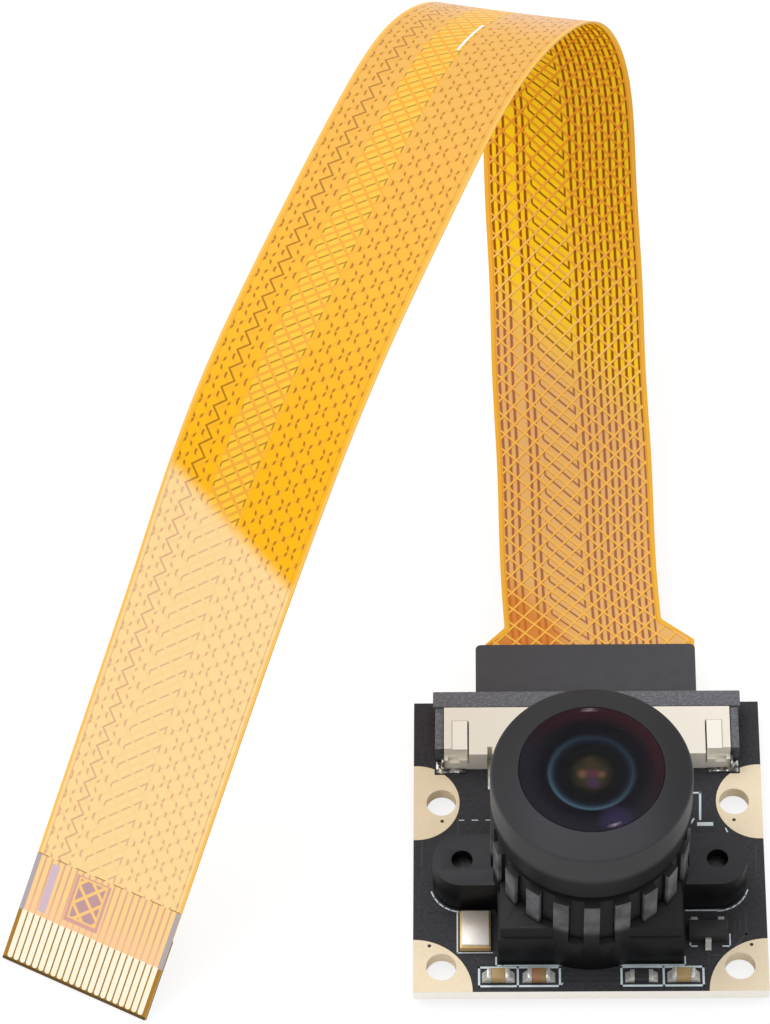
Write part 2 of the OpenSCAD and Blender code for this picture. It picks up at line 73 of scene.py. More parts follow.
# camera: tilt, turn and roll in degrees, and the board's middle as the camera sees it, in mm
view = {
    "tilt": 55.28, "turn": -2.19, "roll": 2.18, "offset": (14.554, -24.301, 357.992), "middle": (0, 3.25, 0),
    "lens": 175.78, "sensor": 36,
    "nearest": 0.01, "farthest": 20,  # clipping, in metres
}


def turnedAxes(degrees):
    # axes turned about z by the given angle
    c, s = math.cos(math.radians(degrees)), math.sin(math.radians(degrees))
    return np.array([[c, -s, 0], [s, c, 0], [0, 0, 1]])


down = math.radians(view["tilt"])
level = np.array([[1, 0, 0], [0, math.sin(down), math.cos(down)], [0, math.cos(down), -math.sin(down)]])
sight = turnedAxes(view["roll"]) @ level @ turnedAxes(view["turn"])
stand = (np.array(view["middle"]) - sight.T @ np.array(view["offset"])) * mm
cameraData = bpy.data.cameras.new("camera")
cameraData.lens = view["lens"]
cameraData.sensor_width = view["sensor"]
cameraData.clip_start = view["nearest"]
cameraData.clip_end = view["farthest"]
camera = bpy.data.objects.new("camera", cameraData)
scene.collection.objects.link(camera)
pose = np.eye(4)
pose[:3, 0], pose[:3, 1], pose[:3, 2], pose[:3, 3] = sight[0], sight[1], -sight[2], stand
camera.matrix_world = Matrix(pose.tolist())
scene.camera = camera


# a field is a socket with arithmetic, and a paint is a material made out of fields
class Field:
    def __init__(self, paint, socket):
        self.paint, self.socket = paint, socket

    # one Math node; turned puts the other value first
    def op(self, kind, other=0.0, turned=False):
        node = self.paint.tree.nodes.new("ShaderNodeMath")
        node.operation = kind
        first, second = (other, self) if turned else (self, other)
        for slot, value in zip(node.inputs, (first, second)):
            self.paint.feed(slot, value)
        return Field(self.paint, node.outputs[0])

    def __add__(self, other): return self.op("ADD", other)
    def __radd__(self, other): return self.op("ADD", other, True)
    def __sub__(self, other): return self.op("SUBTRACT", other)
    def __rsub__(self, other): return self.op("SUBTRACT", other, True)
    def __mul__(self, other): return self.op("MULTIPLY", other)
    def __rmul__(self, other): return self.op("MULTIPLY", other, True)
    def __truediv__(self, other): return self.op("DIVIDE", other)
    def __rtruediv__(self, other): return self.op("DIVIDE", other, True)
    def __abs__(self): return self.op("ABSOLUTE")
    def power(self, other): return self.op("POWER", other)
    def most(self, other): return self.op("MAXIMUM", other)
    def least(self, other): return self.op("MINIMUM", other)
    def fract(self): return self.op("FRACT")

    # 0 below low, 1 above high, smooth between
    def rise(self, low, high):
        return self.paint.add("ShaderNodeMapRange", {"Value": self, "From Min": low, "From Max": high},
                              interpolation_type="SMOOTHSTEP")

    # 1 within reach of the middle, falling to 0 over soft
    def near(self, middle, reach, soft):
        return 1 - abs(self - middle).rise(reach - soft / 2, reach + soft / 2)

    # distance to the nearest whole number, 0 to a half
    def toWhole(self):
        return abs((self + 0.5).fract() - 0.5)


class Paint:
    def __init__(self, name):
        self.material = bpy.data.materials.new(name)
        self.material.use_nodes = True
        self.tree = self.material.node_tree
        self.tree.nodes.clear()
        self.shader = self.tree.nodes.new("ShaderNodeBsdfPrincipled")
        out = self.tree.nodes.new("ShaderNodeOutputMaterial")
        self.tree.links.new(self.shader.outputs[0], out.inputs[0])

    def feed(self, slot, value):
        if isinstance(value, Field):
            self.tree.links.new(value.socket, slot)
        elif value is not None:
            slot.default_value = value

    # any node: its inputs by name, its settings, and the output wanted
    def add(self, kind, inputs=None, output=0, **settings):
        node = self.tree.nodes.new(kind)
        for key, value in settings.items():
            setattr(node, key, value)
        for key, value in (inputs or {}).items():
            self.feed(node.inputs[key], value)
        return Field(self, node.outputs[output])

    def split(self, vector):
        node = self.tree.nodes.new("ShaderNodeSeparateXYZ")
        self.feed(node.inputs[0], vector)
        return [Field(self, o) for o in node.outputs]

    # object coordinates in mm
    def place(self):
        return [c * 1000 for c in self.split(self.add("ShaderNodeTexCoord", output="Object"))]

    # how much the surface faces up, -1 to 1
    def facingUp(self):
        return self.split(self.add("ShaderNodeTexCoord", output="Normal"))[2]

    # the piece's own UV map: mm across it and mm along it
    def across(self):
        return self.split(self.add("ShaderNodeUVMap"))[:2]

    # noise of about the given size in mm, 0 to 1
    def noise(self, size, detail=2.0, stretch=(1, 1, 1)):
        spot = self.add("ShaderNodeMapping", {"Vector": self.add("ShaderNodeTexCoord", output="Object"),
                                              "Scale": stretch})
        return self.add("ShaderNodeTexNoise", {"Vector": spot, "Scale": 1 / (size * mm), "Detail": detail})

    # the first colour where share is 0 and the second where it is 1
    def mix(self, first, second, share):
        node = self.tree.nodes.new("ShaderNodeMix")
        node.data_type = "RGBA"
        self.feed(node.inputs[0], share)
        self.feed(node.inputs[6], first)
        self.feed(node.inputs[7], second)
        return Field(self, node.outputs[2])

    # a height of 0 to 1 as relief of the given depth in mm
    def bump(self, height, depth, strength=1.0):
        return self.add("ShaderNodeBump", {"Height": height, "Distance": depth * mm, "Strength": strength})

    # the shader's inputs, by name with _ for a space
    def done(self, **inputs):
        for key, value in inputs.items():
            self.feed(self.shader.inputs[key.replace("_", " ")], value)
        return self.material


grain = {"broad": 12, "fineShare": 0.6, "spread": 0.12}  # broad grain's size in fine grains; spread of roughness


def grained(name, color, second, size, rough, depth=0.01, metal=0.0, shine=0.5):
    # two close colours in fine grain, with roughness and bump from the same noise; size and depth in mm
    p = Paint(name)
    fine, broad = p.noise(size), p.noise(size * grain["broad"], 3)
    share = (fine * grain["fineShare"] + broad * (1 - grain["fineShare"])).rise(0.3, 0.7)
    return p.done(Base_Color=p.mix(color, second, share), Roughness=(fine - 0.5) * grain["spread"] + rough,
                  Metallic=metal, Specular_IOR_Level=shine, Normal=p.bump(fine, depth))


def unit(v):
    # vectors of length 1, in the same directions
    return v / np.linalg.norm(v, axis=-1, keepdims=True)


def piece(name, points, faces, body, materials, uv=None, which=None, sharp=35):
    # a mesh from arrays: uv is one pair a point, which is one material a face, sharp is in degrees
    mesh = bpy.data.meshes.new(name)
    points, faces = np.asarray(points, dtype=float), np.asarray(faces, dtype=int)
    mesh.from_pydata(points.tolist(), [], faces.tolist())
    if uv is not None:
        corner = np.zeros(len(mesh.loops), dtype=np.int32)
        mesh.loops.foreach_get("vertex_index", corner)
        mesh.uv_layers.new(name="UVMap").data.foreach_set("uv", uv[corner].ravel())
    made = placed(name, mesh, body, materials, sharp)
    if which is not None:
        mesh.polygons.foreach_set("material_index", np.asarray(which, dtype=np.int32))
    return made


def placed(name, mesh, body, materials, sharp=35):
    # the mesh as a smooth-shaded object on its body, with edges above the sharp angle kept hard
    mesh.materials.clear()
    for material in materials:
        mesh.materials.append(material)
    mesh.polygons.foreach_set("use_smooth", np.ones(len(mesh.polygons), dtype=bool))
    mesh.set_sharp_from_angle(angle=math.radians(sharp))
    made = bpy.data.objects.new(name, mesh)
    scene.collection.objects.link(made)
    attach(made, body)
    return made


def gridFaces(rows, columns, ringed=False):
    # quads of a rows x columns grid of points whose columns join round, and its rows too when ringed
    r, c = np.meshgrid(np.arange(rows if ringed else rows - 1), np.arange(columns), indexing="ij")
    n, m = (c + 1) % columns, (r + 1) % rows
    return np.stack([r * columns + c, r * columns + n, m * columns + n, m * columns + c], -1).reshape(-1, 4)


def softened(profile, radius, steps=6):
    # each corner of the closed profile rounded by a curve that starts and ends one radius from it
    p, radius = np.array(profile, dtype=float), np.array(radius, dtype=float)[:, None]
    start = p + radius * unit(np.roll(p, 1, 0) - p)
    end = p + radius * unit(np.roll(p, -1, 0) - p)
    t = np.linspace(0, 1, steps)[:, None, None]
    return ((1 - t) ** 2 * start + 2 * t * (1 - t) * p + t ** 2 * end).transpose(1, 0, 2).reshape(-1, 2)


def lathe(name, profile, body, materials, segments=160, sharp=35):
    # the closed profile of (radius, height), in mm, turned about the optical axis:
    # point = (radius x cos angle, radius x sin angle, height), and the points on the axis are merged
    profile = np.array(profile, dtype=float) * mm
    angle = np.arange(segments) / segments * 2 * np.pi
    points = np.stack([profile[:, 0, None] * np.cos(angle), profile[:, 0, None] * np.sin(angle),
                       np.repeat(profile[:, 1, None], segments, 1)], -1).reshape(-1, 3)
    made = piece(name, points, gridFaces(len(profile), segments, True), body, materials, sharp=sharp)
    tidy = bmesh.new()
    tidy.from_mesh(made.data)
    bmesh.ops.remove_doubles(tidy, verts=tidy.verts, dist=1e-7)
    bmesh.ops.dissolve_degenerate(tidy, edges=tidy.edges, dist=1e-8)
    tidy.to_mesh(made.data)
    tidy.free()
    return made


def slabs(name, outlines, low, high, body, material):
    # each outline at z low and again at z high, in mm: outlines is an array of pieces x corners x (x, y)
    outlines = np.asarray(outlines, dtype=float)
    count, corners = outlines.shape[:2]
    levels = np.broadcast_to(np.array([low, high])[None, :, None, None], (count, 2, corners, 1))
    points = np.concatenate([np.repeat(outlines[:, None], 2, 1), levels], -1).reshape(-1, 3) * mm
    return prisms(name, points, count, corners, body, material)


def prisms(name, points, count, corners, body, material):
    # closed prisms, each with its corners first round the bottom and then round the top
    i = np.arange(corners)
    n = (i + 1) % corners
    sides = np.stack([i, n, n + corners, i + corners], 1)
    fan = np.stack([0 * i[1:-1], i[1:-1], i[2:]], 1)
    start = np.arange(count)[:, None, None] * 2 * corners
    sides = (sides + start).reshape(-1, 4).tolist()
    caps = np.concatenate([fan[:, ::-1], fan + corners])
    caps = (caps + start).reshape(-1, 3).tolist()
    mesh = bpy.data.meshes.new(name)
    mesh.from_pydata(points.tolist(), [], sides + caps)
    return placed(name, mesh, body, [material])


def strokes(lines):
    # outlines of straight strokes, each given as (x0, y0, x1, y1, width) in mm:
    # both ends moved half a width on along the stroke, and half a width to each side
    lines = np.array(lines, dtype=float)
    start, end, half = lines[:, 0:2], lines[:, 2:4], lines[:, 4:5] / 2
    run = unit(end - start) * half
    turned = np.stack([-run[:, 1], run[:, 0]], 1)
    return np.stack([start - run - turned, end + run - turned, end + run + turned, start - run + turned], 1)


def arcs(arcList, step=12):
    # straight strokes of about one step along arcs given as (x, y, radius, from, to, width), angles in degrees
    made = []
    for x, y, radius, first, last, width in arcList:
        a = np.radians(np.linspace(first, last, max(2, int(abs(last - first) / step) + 1)))
        spots = np.stack([x + radius * np.cos(a), y + radius * np.sin(a)], 1)
        made.append(np.hstack([spots[:-1], spots[1:], np.full((len(spots) - 1, 1), width)]))
    return np.vstack(made)


def discs(spots, radius, corners=20):
    # a circle round each spot: spot + radius x (cos angle, sin angle), in mm
    a = np.arange(corners) / corners * 2 * np.pi
    circle = radius * np.stack([np.cos(a), np.sin(a)], 1)
    return np.array(spots, dtype=float)[:, None] + circle[None]


rounding = {"weld": 1e-6, "flat": 1, "steps": 2, "angle": 35, "sharp": 40}  # metres, then degrees


def rounded(node, name, width, material):
    # a copy of the CAD node, welded and with its flat faces joined, its hard edges rounded by width, in mm
    source = bpy.data.objects.new("source", nodes[node].data.copy())
    scene.collection.objects.link(source)
    weld = source.modifiers.new("weld", "WELD")
    weld.merge_threshold = rounding["weld"]
    flat = source.modifiers.new("flat", "DECIMATE")
    flat.decimate_type = "DISSOLVE"
    flat.angle_limit = math.radians(rounding["flat"])
    bevel = source.modifiers.new("bevel", "BEVEL")
    bevel.width = width * mm
    bevel.segments = rounding["steps"]
    bevel.limit_method = "ANGLE"
    bevel.angle_limit = math.radians(rounding["angle"])
    mesh = bpy.data.meshes.new_from_object(source.evaluated_get(bpy.context.evaluated_depsgraph_get()))
    bpy.data.objects.remove(source)
    made = placed(name, mesh, nodes[node]["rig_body"], [material], rounding["sharp"])
    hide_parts(node)
    return made


print("camera and helpers")

# ribbon: the route's points and the directions across it are those of the CAD part, in mm
ribbon = {
    "route": [(0, 19.4, 2.1), (-0.5, 27, 2), (-0.5, 34, 4), (-1, 41, 6.5), (-1, 48, 9), (-1.5, 55, 11.5),
              (-1.5, 61, 17), (-3.5, 61, 25), (-6.5, 56, 30), (-9.5, 50, 33), (-12.5, 43, 33),
              (-15.5, 36.5, 31.5), (-18.5, 29.5, 30.5), (-21.5, 23, 28), (-24, 17.5, 24.5),
              (-26.5, 12.5, 19.5), (-29, 7.5, 14.5), (-31.5, 2.5, 9.5), (-34, -2.5, 4.5), (-36.5, -7.5, -0.5)],
    "across": [(1, 0, 0), (1, 0, 0), (1, 0, 0.05), (1, 0.05, 0.05), (1, 0, 0.05), (1, 0, 0.05),
               (1, -0.1, 0.25), (0.9, -0.3, 0.25), (0.9, -0.4, 0.15), (0.9, -0.45, 0.05), (0.9, -0.4, 0.05),
               (0.9, -0.4, 0), (0.9, -0.4, 0), (0.9, -0.4, -0.1), (0.9, -0.4, -0.1), (0.9, -0.45, 0),
               (0.9, -0.45, 0), (0.9, -0.45, 0), (0.9, -0.45, 0), (0.9, -0.45, 0)],
    "start": 10.7, "width": 11.5, "plug": 16, "flare": 2, "thick": 0.15,
    "mesh": (1.47, 1.42),  # spacing of the mesh lines across and along
    "leadSteps": 12, "steps": 40, "columns": 25,  # rows before the route, rows for each of its points, and columns
}


def spline(points, u):
    # uniform cubic B-spline, whose ends are carried on in line: each place is a mean of four neighbouring
    # points, weighted by the four cubic pieces of how far along it lies between the middle two
    points = np.array(points, dtype=float)
    points = np.vstack([2 * points[:1] - points[1:2], points, 2 * points[-1:] - points[-2:-1]])
    k = np.minimum(u.astype(int), len(points) - 4)
    f = (u - k)[:, None]
    return ((1 - f) ** 3 * points[k] + (3 * f ** 3 - 6 * f ** 2 + 4) * points[k + 1]
            + (-3 * f ** 3 + 3 * f ** 2 + 3 * f + 1) * points[k + 2] + f ** 3 * points[k + 3]) / 6


last = len(ribbon["route"]) - 1
u = np.linspace(0, last, last * ribbon["steps"] + 1)
middle = spline(ribbon["route"], u)
length = np.concatenate([[0], np.cumsum(np.linalg.norm(np.diff(middle, axis=0), axis=1))])
along = unit(np.gradient(middle, length, axis=0))
acrossDir = spline(ribbon["across"], u)
acrossDir = unit(acrossDir - (acrossDir * along).sum(1)[:, None] * along)
# a straight run comes first, from inside the connector to the route
straight = np.linspace(ribbon["start"], ribbon["route"][0][1], ribbon["leadSteps"])[:-1]
middle = np.vstack([np.stack([0 * straight, straight, 0 * straight + ribbon["route"][0][2]], 1), middle])
length = np.concatenate([straight - ribbon["route"][0][1], length])
along = np.vstack([np.tile([0, 1.0, 0], (len(straight), 1)), along])
acrossDir = np.vstack([np.tile([1.0, 0, 0], (len(straight), 1)), acrossDir])
facing = np.cross(acrossDir, along)
endLength = length[-1]
# half width = half the plug's, falling in a straight line to half the ribbon's over the flare
half = np.interp(length, [0, ribbon["flare"]], [ribbon["plug"] / 2, ribbon["width"] / 2])
share = np.linspace(-1, 1, ribbon["columns"])
# point = middle + share x half width x the direction across, and half the thickness to each side of that
sheet = middle[:, None] + (half[:, None] * share)[..., None] * acrossDir[:, None]
lift = ribbon["thick"] / 2 * facing[:, None]
loop = np.concatenate([sheet + lift, (sheet - lift)[:, ::-1]], 1)
rows, columns = loop.shape[:2]
sideways = np.concatenate([half[:, None] * share, (half[:, None] * share)[:, ::-1]], 1)
uv = np.stack([sideways, np.repeat(length[:, None], columns, 1)], -1).reshape(-1, 2)
faces = gridFaces(rows, columns)
ring = np.tile(np.arange(columns), rows - 1)
# materials: 0 inner side, 1 outer side, 2 edge
which = np.where(ring < len(share) - 1, 0, np.where((ring >= len(share)) & (ring < columns - 1), 1, 2))
i = np.arange(len(share) - 1)
nearCap = np.stack([i, columns - 1 - i, columns - 2 - i, i + 1], 1)
farCap = (nearCap + (rows - 1) * columns)[:, ::-1]
faces = np.vstack([faces, nearCap, farCap])
which = np.concatenate([which, np.full(2 * len(i), 2)])


# copper pattern: the mesh lines' shifts and distance apart, and the tracks' spacing and shift, in mm
copper = {"meshShift": (0.1, 0.07), "meshApart": 1.02, "track": 0.5, "trackShift": 0.3, "soft": 0.05, "edge": 5.3}


def ribbonFields(p):
    # mm across and along the ribbon; the two families of slanting mesh lines, each a whole number on its lines
    # (mm across / spacing, plus or minus mm along / spacing), with the distance to them in mm; and the
    # distance to the middle of the nearest gap between two tracks
    v, s = p.across()
    wide, long = ribbon["mesh"]
    a = v / wide + s / long - copper["meshShift"][0]
    b = v / wide - s / long - copper["meshShift"][1]
    lineA, lineB = a.toWhole() * copper["meshApart"], b.toWhole() * copper["meshApart"]
    column = ((v - copper["trackShift"]) / copper["track"]).toWhole() * copper["track"]
    return v, s, a, b, lineA, lineB, column


def gapMask(v, a, column, reach, thin):
    # 1 in the gaps: whole ones, ones broken once a mesh line, and slanting rungs in the middle strip;
    # reach and thin are half the widths of a gap and of a fine one, in mm
    soft, edge = copper["soft"], copper["edge"]
    full = (1 - v.rise(-4.0, -3.9)) + v.near(-2.95, 0.5, 0.06) + v.rise(0.5, 0.6)
    part = (v.near(-2.2, 0.2, 0.06) + v.near(0.3, 0.2, 0.06)) * (1 - (a - 0.5).fract().rise(0.5, 0.55))
    inside = 1 - abs(v).rise(edge, edge + 0.1)
    slots = (1 - column.rise(reach - soft, reach + soft)) * (full * inside).least(1)
    hooks = (1 - column.rise(thin - soft, thin + soft)) * part
    slanted = (a - 0.5).toWhole() * copper["meshApart"]
    rungs = (1 - slanted.rise(thin - soft, thin + soft)) * v.near(-0.95, 1.3, 0.06)
    return slots.most(hooks).most(rungs).least(1)


# inner side: half widths of its lines and gaps, and where each change of light starts and ends along it, in mm
innerSide = {
    "line": (0.05, 0.1), "litLine": (0.04, 0.1), "gap": 0.105, "fineGap": 0.07, "wireShadowShift": 0.09,
    "slope": 0.9, "glare": (20, 27), "wideGlare": (24, 40), "shade": (44, 55), "border": (5.33, 5.38),
}
innerColors = {
    "track": (255, 212, 26), "trackShade": (255, 206, 34), "trackGlare": (236, 184, 112),
    "gap": (158, 82, 14), "gapShade": (148, 70, 8), "gapGlare": (172, 104, 74),
    "wire": (244, 160, 40), "wireShade": (204, 116, 18), "wireGlare": (254, 192, 84), "wireLit": (255, 208, 120),
    "patch": (214, 118, 22), "wireShadow": (150, 88, 30),
    "border": (246, 184, 62), "borderShade": (255, 214, 84), "borderLine": (226, 150, 30),
}


def toned(colors):
    # display colours by name as linear ones
    return {name: tone(*color) for name, color in colors.items()}


def innerFilm():
    # tracks with brown gaps between them, under the mesh of wires
    p, dye = Paint("amber film, inner side"), toned(innerColors)
    v, s, a, b, lineA, lineB, column = ribbonFields(p)
    lines = 1 - lineA.least(lineB).rise(*innerSide["line"])
    # one family of wires carries a painted highlight
    lit = 1 - lineB.rise(*innerSide["litLine"])
    gap = gapMask(v, a, column, innerSide["gap"], innerSide["fineGap"])
    # painted glare takes over below a slanting line, reaching further on the wires, and the bend is in its own
    # painted shade above
    slant = s + v * innerSide["slope"]
    glare = 1 - slant.rise(*innerSide["glare"])
    wideGlare = 1 - slant.rise(*innerSide["wideGlare"])
    shade = s.rise(*innerSide["shade"])
    # a deeper orange patch lies beside the connector, to the left
    patch = (1 - (s + v * 1.1).rise(-1.5, 2.0)) * (1 - v.rise(-2.4, -0.4))
    track = p.mix(p.mix(dye["track"], dye["trackShade"], shade), dye["trackGlare"], glare)
    gaps = p.mix(p.mix(dye["gap"], dye["gapShade"], shade), dye["gapGlare"], glare)
    wires = p.mix(p.mix(dye["wire"], dye["wireShade"], shade), dye["wireGlare"], wideGlare)
    wires = p.mix(wires, dye["wireLit"], lit * wideGlare * (1 - glare))
    color = p.mix(p.mix(track, gaps, gap), dye["patch"], patch * 0.75)
    color = p.mix(color, wires, lines)
    # a painted brown shadow runs beside each wire, on its shaded side
    shadowShift = innerSide["wireShadowShift"]
    under = (1 - (a + shadowShift).toWhole().rise(0.03, 0.07)).most(1 - (b - shadowShift).toWhole().rise(0.03, 0.07))
    color = p.mix(color, dye["wireShadow"], under * (1 - lines) * 0.35)
    # the plain border follows the flare at the wide end
    out = abs(v) - (1 - s.rise(0, ribbon["flare"])) * ((ribbon["plug"] - ribbon["width"]) / 2)
    edge = out.rise(*innerSide["border"])
    color = p.mix(color, p.mix(dye["border"], dye["borderShade"], shade), edge)
    color = p.mix(color, dye["borderLine"], out.near(5.42, 0.03, 0.03) * 0.8)
    height = lines.most(edge) - gap * 0.5
    return p.done(Base_Color=color, Roughness=0.38 - lines * 0.08, Specular_IOR_Level=0.12,
                  Normal=p.bump(height, 0.03, 0.6))


# outer side: the same, with the zigzag line, the white line and the free end's stages along the ribbon, in mm
outerSide = {
    "line": (0.08, 0.14), "gap": 0.075, "fineGap": 0.055, "shown": (0.07, 0.14), "shownMiddle": (0.09, 0.15),
    "zigzag": {"middle": 3.8, "height": 1.42, "shift": 0.35, "clear": (0.3, 0.4), "line": (0.07, 0.12)},
    "slope": 0.48, "glare": (105.6, 107.0), "bendSheen": (66, 90), "paleSheen": (56, 63), "border": (5.5, 5.6),
    "white": {"across": (0.05, 0.09), "along": (63.6, 2.25)},
    "end": 133.25, "bare": (135, 137.5), "ground": 137.55, "rim": 0.24, "patch": (-1.05, 135.3),
}
outerColors = {
    "base": (250, 182, 14), "baseSheen": (234, 180, 72), "baseBendSheen": (230, 176, 102), "basePaleSheen": (228, 184, 146),
    "baseGlare": (247, 213, 150), "middle": (252, 204, 72),
    "mark": (134, 82, 22), "markSheen": (160, 104, 52), "markGlare": (212, 158, 128),
    "line": (232, 160, 56), "lineGlare": (242, 198, 134), "borderLine": (206, 146, 66), "border": (248, 190, 92),
    "white": (255, 253, 250), "tail": (248, 208, 140), "tailGap": (220, 172, 142), "tailBare": (250, 200, 158),
    "tailBlock": (210, 184, 196), "tailEdge": (176, 166, 168), "patch": (214, 164, 150),
    "patchInner": (248, 200, 124), "patchCore": (190, 152, 154), "ground": (170, 122, 44), "rim": (92, 72, 40),
    "dashes": (150, 96, 44),
}


def freeEnd(p, v, s, lines, dye):
    # straight tracks, a bare band, a small patch of mesh, and the ground under the contacts
    trackGap = 1 - (v / copper["track"]).toWhole().rise(0.1, 0.2)
    tail = p.mix(dye["tail"], dye["tailGap"], trackGap)
    tail = p.mix(tail, dye["tailBare"], s.rise(*outerSide["bare"]) * 0.5)
    tail = p.mix(tail, dye["tailBlock"], v.near(-4.1, 0.3, 0.05) * s.near(135.4, 1.8, 0.1))
    tail = p.mix(tail, dye["tailEdge"], abs(v).rise(5.35, 5.42))
    left, start = outerSide["patch"]
    inPatch = v.near(left, 1.35, 0.04) * s.near(start, 1.75, 0.04)
    inner = v.near(left, 1.12, 0.04) * s.near(start - 0.1, 1.55, 0.04)
    core = v.near(left, 0.98, 0.04) * s.near(start - 0.1, 1.42, 0.04)
    tail = p.mix(tail, dye["patch"], inPatch)
    tail = p.mix(tail, dye["patchInner"], inner)
    tail = p.mix(tail, p.mix(dye["patchCore"], dye["patchInner"], lines), core)
    rim = endLength - outerSide["rim"]
    ground = p.mix(dye["ground"], dye["rim"], s.rise(rim, rim + 0.04))
    return p.mix(tail, ground, s.rise(outerSide["ground"], outerSide["ground"] + 0.05))


def outerFilm():
    # the same pattern seen through from behind: a plain film with short marks
    p, dye = Paint("amber film, outer side"), toned(outerColors)
    v, s, a, b, lineA, lineB, column = ribbonFields(p)
    lines = 1 - lineA.least(lineB).rise(*outerSide["line"])
    # a gap shows where a mesh line crosses behind it, and between the lines in the middle strip
    line, middle = lineA.least(lineB), v.near(-0.95, 1.35, 0.06)
    shown = (1 - line.rise(*outerSide["shown"])) * (1 - middle) + line.rise(*outerSide["shownMiddle"]) * middle
    gap = gapMask(v, a, column, outerSide["gap"], outerSide["fineGap"])
    wave = outerSide["zigzag"]
    zigzag = abs((v + wave["middle"]) - ((s / ribbon["mesh"][1] + wave["shift"]).toWhole() * wave["height"]
                                         - wave["height"] / 4))
    dash = (gap * shown * zigzag.rise(*wave["clear"])).most(1 - zigzag.rise(*wave["line"]))
    # painted glare below a slanting line, and painted sheen: lighter towards the bend, with a paler band at the
    # bend
    boundary = s - v * outerSide["slope"]
    glare = boundary.rise(*outerSide["glare"])
    bendSheen = 1 - s.rise(*outerSide["bendSheen"])
    paleSheen = 1 - s.rise(*outerSide["paleSheen"])
    base = p.mix(dye["base"], dye["baseSheen"], bendSheen.most(1 - s.rise(78, 104) * 0.7 - 0.3))
    base = p.mix(base, dye["baseBendSheen"], bendSheen * 0.6)
    base = p.mix(base, dye["basePaleSheen"], paleSheen * 0.7)
    base = p.mix(base, dye["baseGlare"], glare)
    middleStrip = v.near(-0.95, 1.3, 0.3) * (1 - glare)
    base = p.mix(base, dye["middle"], middleStrip * 0.6)
    mark = p.mix(dye["mark"], dye["markSheen"], bendSheen)
    mark = p.mix(mark, dye["markGlare"], glare)
    color = p.mix(base, p.mix(dye["line"], dye["lineGlare"], glare), lines * (middleStrip * 0.5 + 0.3))
    color = p.mix(color, mark, dash * 0.75)
    color = p.mix(color, dye["borderLine"], abs(v).near(copper["edge"], 0.03, 0.04) * 0.6)
    color = p.mix(color, dye["border"], abs(v).rise(*outerSide["border"]))
    white = v.near(*outerSide["white"]["across"], 0.03) * s.near(*outerSide["white"]["along"], 0.05)
    color = p.mix(color, dye["white"], white)
    end = s.rise(outerSide["end"], outerSide["end"] + 0.05)
    color = p.mix(color, freeEnd(p, v, s, lines, dye), end)
    # a row of dashes where the free end starts
    dashes = s.near(outerSide["end"], 0.04, 0.03) * (v / 1.5).fract().near(0.5, 0.28, 0.1)
    color = p.mix(color, dye["dashes"], dashes * 0.8)
    height = (1 - dash) * (1 - end * 0.5) + white * 0.5
    return p.done(Base_Color=color, Roughness=0.4 - glare * 0.08, Specular_IOR_Level=0.12,
                  Normal=p.bump(height, 0.02, 0.4))


def filmEdge():
    # the layers of the film, darker and paler
    p = Paint("amber film, edge")
    v, s = p.across()
    layers = p.noise(0.05)
    return p.done(Base_Color=p.mix(tone(214, 150, 40), tone(245, 196, 90), layers), Roughness=0.5)


film = piece("ribbon", loop.reshape(-1, 3) * mm, faces, "root", [innerFilm(), outerFilm(), filmEdge()], uv, which)
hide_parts("ribbon_film")
print("ribbon", len(film.data.vertices))

# a white room: even light from all round, one soft lamp in metres and watts, and a level floor
studio = {
    "world": 0.85, "key": {"place": (-0.3, 0.2, 0.5), "aim": (0, 0.02, 0), "size": 0.45, "power": 1.5},
    "floor": 3, "below": 1e-5,  # half its side, and how far it lies below the part
    "paint": 0.9, "glow": 1.15, "glowShare": 0.7,
}
world = bpy.data.worlds.new("studio")
world.use_nodes = True
scene.world = world
world.node_tree.nodes["Background"].inputs[0].default_value = (1, 1, 1, 1)
world.node_tree.nodes["Background"].inputs[1].default_value = studio["world"]
scene.view_settings.view_transform = "Standard"


def areaLight(name, place, aim, size, power):
    # a square lamp that stands at place and looks at aim
    data = bpy.data.lights.new(name, "AREA")
    data.size = size
    data.energy = power
    made = bpy.data.objects.new(name, data)
    scene.collection.objects.link(made)
    back = unit(np.array(place, dtype=float) - np.array(aim, dtype=float))
    side = unit(np.cross([0, 1, 0.01], back))
    turned = np.eye(4)
    turned[:3, 0], turned[:3, 1], turned[:3, 2], turned[:3, 3] = side, np.cross(back, side), back, place
    made.matrix_world = Matrix(turned.tolist())
    return made


areaLight("key", **studio["key"])

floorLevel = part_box("holder_screws")[0][2] - studio["below"]
side = studio["floor"]
floorMesh = bpy.data.meshes.new("floor")
floorMesh.from_pydata([(-side, -side, floorLevel), (side, -side, floorLevel), (side, side, floorLevel),
                       (-side, side, floorLevel)], [], [(0, 1, 2, 3)])
floor = bpy.data.objects.new("floor", floorMesh)
scene.collection.objects.link(floor)


def floorPaint():
    # the camera sees the floor mostly white, with its shadows weakened
    p = Paint("floor")
    material = p.done(Base_Color=(studio["paint"],) * 3 + (1,), Roughness=0.9)
    glow = p.tree.nodes.new("ShaderNodeEmission")
    blend = p.tree.nodes.new("ShaderNodeMixShader")
    seen = p.add("ShaderNodeLightPath", output="Is Camera Ray")
    p.feed(blend.inputs[0], seen * studio["glowShare"])
    p.tree.links.new(p.shader.outputs[0], blend.inputs[1])
    p.tree.links.new(glow.outputs[0], blend.inputs[2])
    glow.inputs[1].default_value = studio["glow"]
    p.tree.links.new(blend.outputs[0], p.tree.nodes["Material Output"].inputs[0])
    return material


floorMesh.materials.append(floorPaint())
print("studio")


